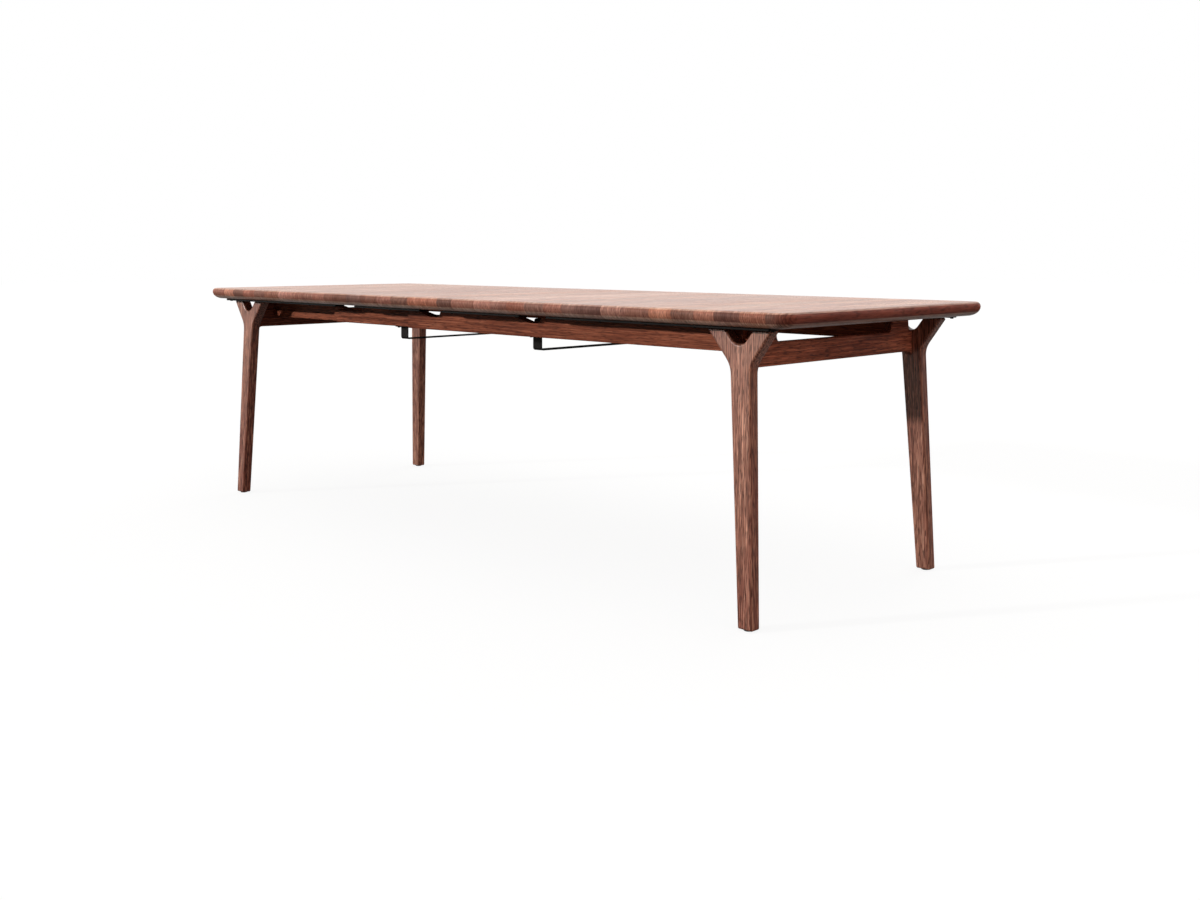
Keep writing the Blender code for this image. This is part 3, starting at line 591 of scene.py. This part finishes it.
def makeCrossbars(look):
    end = look["end"]
    stub = end - look["stubLength"]
    outline = [
        (end - look["flareRun"], look["bottom"], look["flareRadius"]),
        (end, look["bottom"] - look["flareDrop"], 0),
        (end, look["notchBottom"], 0),
        (end - look["notchLength"], look["notchBottom"], look["notchRadius"]),
        (end - look["notchLength"] - look["notchRun"], look["top"], look["notchCorner"]),
        (stub, look["top"], look["stubRadius"]),
        (stub - look["dipRun"], look["lowTop"], look["dipRadius"]),
    ]
    outline += [(-u, v, radius) for u, v, radius in reversed(outline)]
    layers = softLayers(look["thickness"], look["softEdge"], softRows)

    def toPlace(u, v, w):
        return Vector((look["x"] + w, u, v))

    for half, along in halves.items():
        name = f"crossbar_{half}_wood"
        piece = addPiece(name, loftMesh(name, outline, layers, turnedRound(toPlace, along)), walnutCrossbars)
        finish(piece, f"{half}_half", "walnut_frame", f"crossbar_{half}")


makeCrossbars(crossbarLook)
print("crossbars made")


# Rails, straps, plates and strips keep the solid's own shape, and their arrises are finely broken
brokenArris = {
    "rail": 0.0006,
    "strap": 0.0005,
    "stopPlate": 0.0004,
    "wearStrip": 0.0008,
    "segments": 2,
    "sharpFrom": 38,  # degrees, and flatWithin too
    "flatWithin": 0.5,
    "mergeWithin": 0.00002,
}


def refine(node, name, material, slot, width):
    look = brokenArris
    shape = bmesh.new()
    shape.from_mesh(frame["nodes"][node].data)
    bmesh.ops.remove_doubles(shape, verts=shape.verts, dist=look["mergeWithin"])
    bmesh.ops.dissolve_limit(shape, angle_limit=math.radians(look["flatWithin"]), verts=shape.verts,
                             edges=shape.edges)
    mesh = bpy.data.meshes.new(name)
    shape.to_mesh(mesh)
    shape.free()
    piece = addPiece(name, mesh, material)
    soften = piece.modifiers.new("soften", "BEVEL")
    soften.width = width
    soften.segments = look["segments"]
    soften.limit_method = "ANGLE"
    soften.angle_limit = math.radians(look["sharpFrom"])
    finish(piece, bodyOf(node), slot, node)


for layer in ("outer", "inner", "middle"):
    for side in sides:
        node = f"{layer}_rail_{side}"
        refine(node, node + "_wood", walnutRails, "walnut_rail", brokenArris["rail"])
print("rails made")


# Steel bars: flat, with rounded corners and broken edges. Their screws are made with the other screws
barLook = {
    "bottom": 0.6907,
    "thickness": 0.006,
    "cornerRadius": 0.004,
    "softEdge": 0.0008,
    "softRows": 3,
}


def makeBars(look):
    middle = look["bottom"] + look["thickness"] / 2
    layers = softLayers(look["thickness"], look["softEdge"], look["softRows"])
    for node in frame["nodes"]:
        if not node.startswith(("top_bar", "leaf_bar")):
            continue
        low, high = (Vector(corner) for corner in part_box(node))
        places = ((low.x, low.y), (high.x, low.y), (high.x, high.y), (low.x, high.y))
        corners = [(x, y, look["cornerRadius"]) for x, y in places]
        mesh = loftMesh(node + "_steel", corners, layers, lambda u, v, w: Vector((u, v, middle + w)))
        piece = addPiece(node + "_steel", mesh, blackCoat)
        finish(piece, bodyOf(node), "black_steel", node)


makeBars(barLook)

for node in frame["nodes"]:
    if node.startswith("leaf_strap"):
        refine(node, node + "_steel", blackCoat, "black_steel", brokenArris["strap"])
    if node.startswith("stop_plate"):
        refine(node, node + "_zinc", zincPlate, "zinc_steel", brokenArris["stopPlate"])
    if node.startswith("wear_strip"):
        refine(node, node + "_nylon", slickStrip, "wear_strip", brokenArris["wearStrip"])
print("bars, straps and strips made")


# Screws: pan heads with a hexagon socket, turned by chance as a maker leaves them
screwLook = {
    "headRadius": 0.0045,
    "headHeight": 0.0028,
    "rimRounding": 0.78,  # how far the rim draws in towards the flat of the head
    "rimCurve": 4.0,
    "rimPoints": 9,
    "socketRadius": 0.0017,
    "socketDepth": 0.0014,
    "sunk": 0.0003,
    "sides": 20,
    "sharpFrom": 35,  # degrees
    "seatWithin": 0.0001,
    "seed": 7,
}


def screwTree(look):
    tree = bpy.data.node_groups.new("screw_heads", "GeometryNodeTree")
    face = tree.interface
    face.new_socket("Seats", in_out="INPUT", socket_type="NodeSocketGeometry")
    face.new_socket("Screws", in_out="OUTPUT", socket_type="NodeSocketGeometry")
    for label, key in (("Head radius", "headRadius"), ("Head height", "headHeight"), ("Sunk", "sunk"),
                       ("Socket radius", "socketRadius"), ("Socket depth", "socketDepth")):
        face.new_socket(label, in_out="INPUT", socket_type="NodeSocketFloat").default_value = look[key]
    face.new_socket("Finish", in_out="INPUT", socket_type="NodeSocketMaterial")
    given = addNode(tree, "NodeGroupInput").outputs

    # the head is a short pole, whose radius falls off towards its flat end
    under = compute(tree, "MULTIPLY", given["Head height"], -1.0)
    start = addNode(tree, "ShaderNodeCombineXYZ", {2: given["Sunk"]}).outputs[0]
    end = addNode(tree, "ShaderNodeCombineXYZ", {2: under}).outputs[0]
    axis = addNode(tree, "GeometryNodeCurvePrimitiveLine", {"Start": start, "End": end}).outputs[0]
    axis = addNode(tree, "GeometryNodeResampleCurve", {"Curve": axis, "Count": look["rimPoints"]}).outputs[0]
    along = addNode(tree, "GeometryNodeSplineParameter").outputs["Factor"]
    bend = compute(tree, "POWER", compute(tree, "MULTIPLY", along, look["rimRounding"]), look["rimCurve"])
    radius = compute(tree, "MULTIPLY", compute(tree, "SQRT", compute(tree, "SUBTRACT", 1.0, bend)),
                     given["Head radius"])
    axis = addNode(tree, "GeometryNodeSetCurveRadius", {"Curve": axis, "Radius": radius}).outputs[0]
    ring = addNode(tree, "GeometryNodeCurvePrimitiveCircle", {"Resolution": look["sides"], "Radius": 1.0})
    head = addNode(tree, "GeometryNodeCurveToMesh", {
        "Curve": axis, "Profile Curve": ring.outputs[0], "Scale": radius, "Fill Caps": True})
    depth = compute(tree, "MULTIPLY", given["Socket depth"], 2.0)
    key = addNode(tree, "GeometryNodeMeshCylinder", {
        "Vertices": 6, "Radius": given["Socket radius"], "Depth": depth})
    key = addNode(tree, "GeometryNodeTransform", {"Geometry": key.outputs["Mesh"], "Translation": end})
    cut = addNode(tree, "GeometryNodeMeshBoolean", {
        "Mesh 1": head.outputs[0], "Mesh 2": key.outputs[0]}, operation="DIFFERENCE", solver="EXACT")

    direction = addNode(tree, "GeometryNodeInputNamedAttribute", {"Name": "direction"},
                        data_type="FLOAT_VECTOR").outputs[0]
    facing = addNode(tree, "FunctionNodeAlignRotationToVector", {"Vector": direction}, axis="Z").outputs[0]
    chance = addNode(tree, "FunctionNodeRandomValue", {"Max": (0.0, 0.0, math.tau), "Seed": look["seed"]},
                     data_type="FLOAT_VECTOR").outputs[0]
    facing = addNode(tree, "FunctionNodeRotateRotation", {"Rotation": facing, "Rotate By": chance},
                     rotation_space="LOCAL").outputs[0]
    seats = addNode(tree, "GeometryNodeMeshToPoints", {"Mesh": given["Seats"]}).outputs[0]
    screws = addNode(tree, "GeometryNodeInstanceOnPoints", {
        "Points": seats, "Instance": cut.outputs["Mesh"], "Rotation": facing}).outputs[0]
    screws = addNode(tree, "GeometryNodeRealizeInstances", {"Geometry": screws}).outputs[0]
    finished = {"Geometry": screws, "Material": given["Finish"]}
    screws = addNode(tree, "GeometryNodeSetMaterial", finished).outputs[0]
    addNode(tree, "NodeGroupOutput", {"Screws": screws})
    return tree


def barSeats(node, look):
    # the lowest point of each screw head of a bar's solid marks its screw
    points = [vertex.co for vertex in frame["nodes"][node].data.vertices]
    lowest = min(point.z for point in points)
    seats = {round(point.x, 4): point for point in points if point.z < lowest + look["seatWithin"]}
    return [(Vector((point.x, point.y, barLook["bottom"])), Vector((0, 0, 1))) for point in seats.values()]


def ownSeat(node, look):
    # a screw of its own: the strap's go up, the stop plate's go in along the rail
    low, high = (Vector(corner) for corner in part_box(node))
    middle = (low + high) / 2
    if node.startswith("strap_screw"):
        return [(Vector((middle.x, middle.y, low.z + look["headHeight"])), Vector((0, 0, 1)))]
    outer = math.copysign(1, middle.x)
    end = (high.x if outer > 0 else low.x) - outer * look["headHeight"]
    return [(Vector((end, middle.y, middle.z)), Vector((-outer, 0, 0)))]


def makeScrews(look):
    tree = screwTree(look)
    kinds = {"black_steel": (blackCoat, ("top_bar", "leaf_bar", "strap_screw")),
             "zinc_steel": (zincPlate, ("stop_screw",))}
    for body, nodes in frame["record"]["behaviour"]["bodies"].items():
        for slot, (material, starts) in kinds.items():
            chosen = [node for node in nodes if node.startswith(starts)]
            seats = []
            for node in chosen:
                seats += barSeats(node, look) if "_bar_" in node else ownSeat(node, look)
            if not seats:
                continue
            mesh = bpy.data.meshes.new("screw_seats")
            mesh.from_pydata([place for place, direction in seats], [], [])
            stored = mesh.attributes.new("direction", "FLOAT_VECTOR", "POINT")
            for item, (place, direction) in zip(stored.data, seats):
                item.vector = direction
            piece = addPiece(f"screws_{body}_{slot}", mesh, material)
            drawing = piece.modifiers.new("screws", "NODES")
            drawing.node_group = tree
            socket = next(item for item in tree.interface.items_tree if item.name == "Finish")
            drawing[socket.identifier] = material
            applyModifiers(piece)
            finish(piece, body, slot, *chosen, sharpAngle=look["sharpFrom"])
            print("screws on", body, slot, len(seats))


makeScrews(screwLook)


# Floor glides: low round feet of black plastic, with a rounded rim
glideLook = {
    "height": 0.0025,
    "rimRound": 0.0009,
    "rimRows": 4,
    "sides": 48,
}


def makeGlides(look):
    for node in frame["nodes"]:
        if not node.startswith("leg_glide"):
            continue
        low, high = (Vector(corner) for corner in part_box(node))
        centre = (low + high) / 2
        reach = (high.x - low.x) / 2
        profile = []
        for row in range(look["rimRows"] + 1):
            turn = math.pi / 2 * row / look["rimRows"]
            inset = look["rimRound"] * (1 - math.sin(turn))
            profile.append((reach - inset, look["rimRound"] * (1 - math.cos(turn))))
        profile.append((reach, look["height"]))
        turns = [math.tau * side / look["sides"] for side in range(look["sides"])]
        rings = []
        for radius, height in profile:
            rings.append([(centre.x + radius * math.cos(turn), centre.y + radius * math.sin(turn), height)
                          for turn in turns])
        piece = addPiece(node + "_plastic", skinMesh(node + "_plastic", rings), blackPlastic)
        finish(piece, bodyOf(node), "black_plastic", node)


makeGlides(glideLook)
print("screws and glides made")


# Studio: a pale floor, a key light from the left front with a soft sheen beside it, a broad soft light
# overhead, a weak warm one on the right and a soft one behind
studio = {
    "background": 1.0,
    "ambient": 0.03,
    "lamps": {
        "key": {"strength": 2.05, "angle": 2.5, "direction": (0.62, 1.0, -0.318), "colour": "#FFFFFF"},
        "sheen": {"strength": 1.8, "angle": 40.0, "direction": (0.75, 1.0, -0.10), "colour": "#FFF3E8",
                  "glossOnly": True},
        "fill": {"strength": 0.59, "angle": 34.0, "direction": (-1.0, 0.05, -0.20), "colour": "#FFD9C8",
                 "noGloss": True},
        "back": {"strength": 0.9, "angle": 40.0, "direction": (0.1, -1.0, -0.35), "colour": "#FFFFFF",
                 "noGloss": True},
        "overhead": {"strength": 2.25, "angle": 110.0, "direction": (0.0, 0.0, -1.0), "colour": "#FFFFFF"},
    },
    "floorPale": "#F8F7F5",
    "floorBounce": "#413F3D",
    "floorGlow": 0.86,
    "floorInGloss": 0.18,  # the share of its paleness that the floor shows in the wood's gloss
    "glowStrength": 1.02,
    "floorSize": 60.0,
}


def makeWorld(look):
    world = bpy.data.worlds.new("studio")
    scene.world = world
    world.use_nodes = True
    tree = world.node_tree
    tree.nodes.clear()
    ray = addNode(tree, "ShaderNodeLightPath")
    seen = compute(tree, "MAXIMUM", ray.outputs["Is Camera Ray"], ray.outputs["Is Glossy Ray"])
    seen = compute(tree, "MAXIMUM", seen, ray.outputs["Is Transmission Ray"])
    soft = addNode(tree, "ShaderNodeBackground", {"Color": (1, 1, 1, 1), "Strength": look["ambient"]})
    white = addNode(tree, "ShaderNodeBackground", {"Color": (1, 1, 1, 1), "Strength": look["background"]})
    mixed = addNode(tree, "ShaderNodeMixShader", {0: seen, 1: soft.outputs[0], 2: white.outputs[0]})
    addNode(tree, "ShaderNodeOutputWorld", {"Surface": mixed.outputs[0]})


def makeFloor(look):
    mesh = bpy.data.meshes.new("floor")
    reach = look["floorSize"] / 2
    corners = [(-reach, -reach, 0), (reach, -reach, 0), (reach, reach, 0), (-reach, reach, 0)]
    mesh.from_pydata(corners, [], [(0, 1, 2, 3)])
    floor = bpy.data.objects.new("floor", mesh)
    scene.collection.objects.link(floor)
    material = bpy.data.materials.new("painted_studio_floor")
    material.use_nodes = True
    tree = material.node_tree
    tree.nodes.clear()
    ray = addNode(tree, "ShaderNodeLightPath")
    inGloss = compute(tree, "MULTIPLY", ray.outputs["Is Glossy Ray"], look["floorInGloss"])
    seen = compute(tree, "MAXIMUM", ray.outputs["Is Camera Ray"], inGloss)
    seen = compute(tree, "MAXIMUM", seen, ray.outputs["Is Transmission Ray"])
    colour = colourMix(tree, seen, linearColour(look["floorBounce"]), linearColour(look["floorPale"]))
    paint = addNode(tree, "ShaderNodeBsdfDiffuse", {"Color": colour})
    glow = addNode(tree, "ShaderNodeEmission", {"Color": (1, 1, 1, 1), "Strength": look["glowStrength"]})
    share = compute(tree, "MULTIPLY", seen, look["floorGlow"])
    mixed = addNode(tree, "ShaderNodeMixShader", {0: share, 1: paint.outputs[0], 2: glow.outputs[0]})
    addNode(tree, "ShaderNodeOutputMaterial", {"Surface": mixed.outputs[0]})
    mesh.materials.append(material)


def makeSun(name, look):
    light = bpy.data.lights.new(name, "SUN")
    light.energy = look["strength"]
    light.angle = math.radians(look["angle"])
    light.color = linearColour(look["colour"])[:3]
    lamp = bpy.data.objects.new(name, light)
    scene.collection.objects.link(lamp)
    lamp.rotation_mode = "QUATERNION"
    lamp.rotation_quaternion = Vector(look["direction"]).to_track_quat("-Z", "Y")
    lamp.location = -3 * Vector(look["direction"])  # a sun lights the same from anywhere
    lamp.visible_diffuse = not look.get("glossOnly")
    lamp.visible_glossy = not look.get("noGloss")


makeWorld(studio)
makeFloor(studio)
for lampName, lampLook in studio["lamps"].items():
    makeSun(lampName, lampLook)

# Camera: level, at table height, with the lens shifted down as the photograph's was
cameraLook = {
    "place": (2.9265, -2.6436, 0.8728),
    "heading": 135.16,  # degrees round from X
    "focalPixels": 1241.0,
    "principal": (597.4, 250.2),
    "image": (1200, 900),
    "sensor": 36.0,
}


def makeCamera(look):
    wide, high = look["image"]
    lens = bpy.data.cameras.new("camera")
    lens.sensor_width = look["sensor"]
    lens.lens = look["focalPixels"] / wide * look["sensor"]
    lens.shift_x = (wide / 2 - look["principal"][0]) / wide
    lens.shift_y = (look["principal"][1] - high / 2) / wide
    camera = bpy.data.objects.new("camera", lens)
    scene.collection.objects.link(camera)
    camera.location = look["place"]
    camera.rotation_euler = (math.pi / 2, 0, math.radians(look["heading"] - 90))
    scene.camera = camera


makeCamera(cameraLook)
scene.view_settings.view_transform = "Standard"
